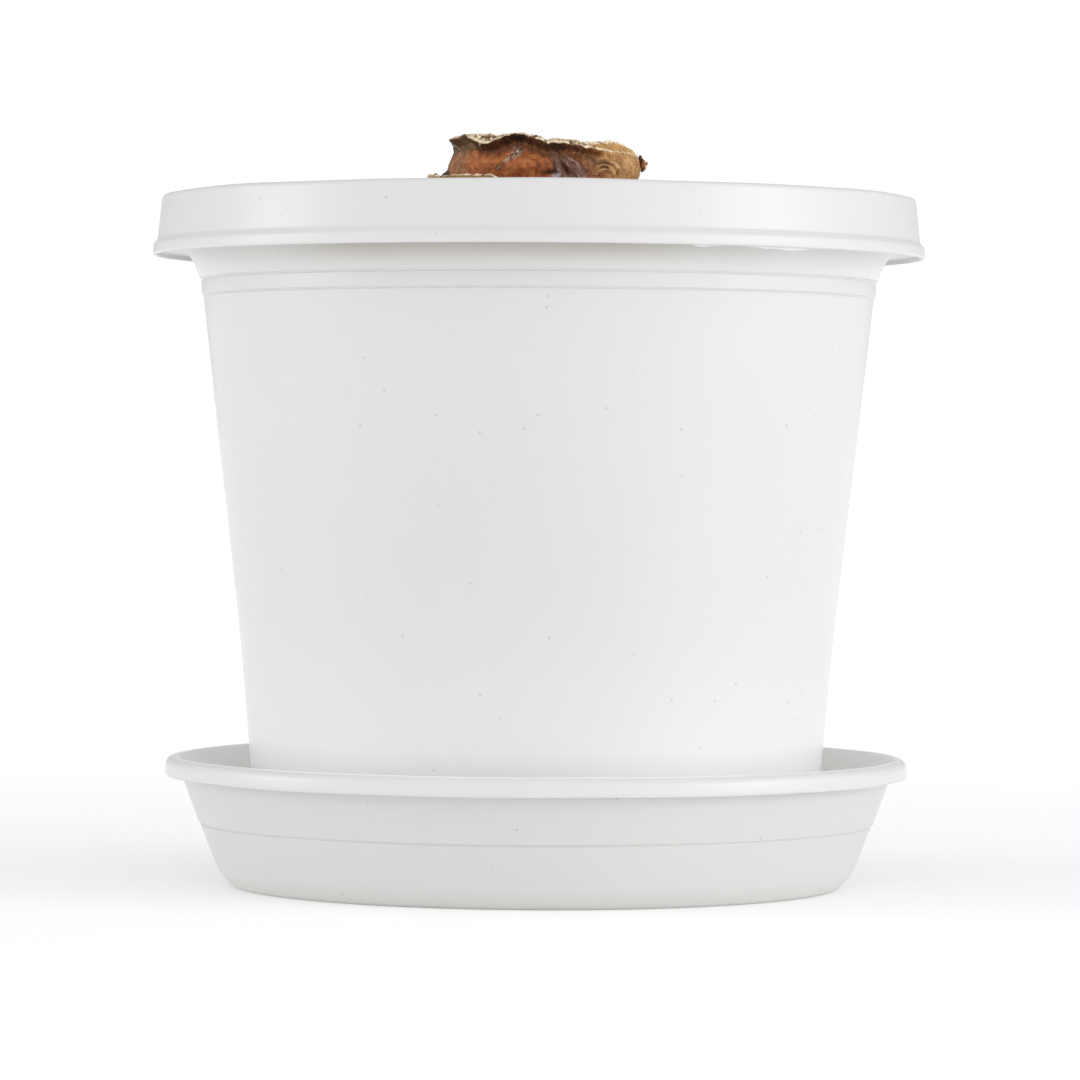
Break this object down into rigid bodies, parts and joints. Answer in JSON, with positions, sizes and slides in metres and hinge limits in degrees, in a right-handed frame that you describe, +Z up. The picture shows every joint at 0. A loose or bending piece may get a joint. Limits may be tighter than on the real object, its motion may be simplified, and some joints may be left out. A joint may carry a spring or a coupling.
{
  "type": "potted amaryllis bulb",
  "caption": "Dormant amaryllis bulb with a cut papery neck, planted in potting mix in a tapered white plastic pot with a stepped collar, standing in a matching saucer.",
  "frame": {"origin": "middle of the saucer's underside, on the surface that it stands on", "axes": "+Z up along the pot's axis, -Y towards the front, +X to the right seen from the front"},
  "size_m": [0.156, 0.156, 0.1514],
  "materials": {
    "saucer_plastic": "satin",
    "pot_plastic": "satin",
    "potting_mix": "matte",
    "bulb_skin": "matte"
  },
  "bodies": {
    "root": {"saucer": "saucer_plastic", "pot": "pot_plastic", "potting_mix": "potting_mix", "bulb": "bulb_skin"}
  },
  "joints": []
}
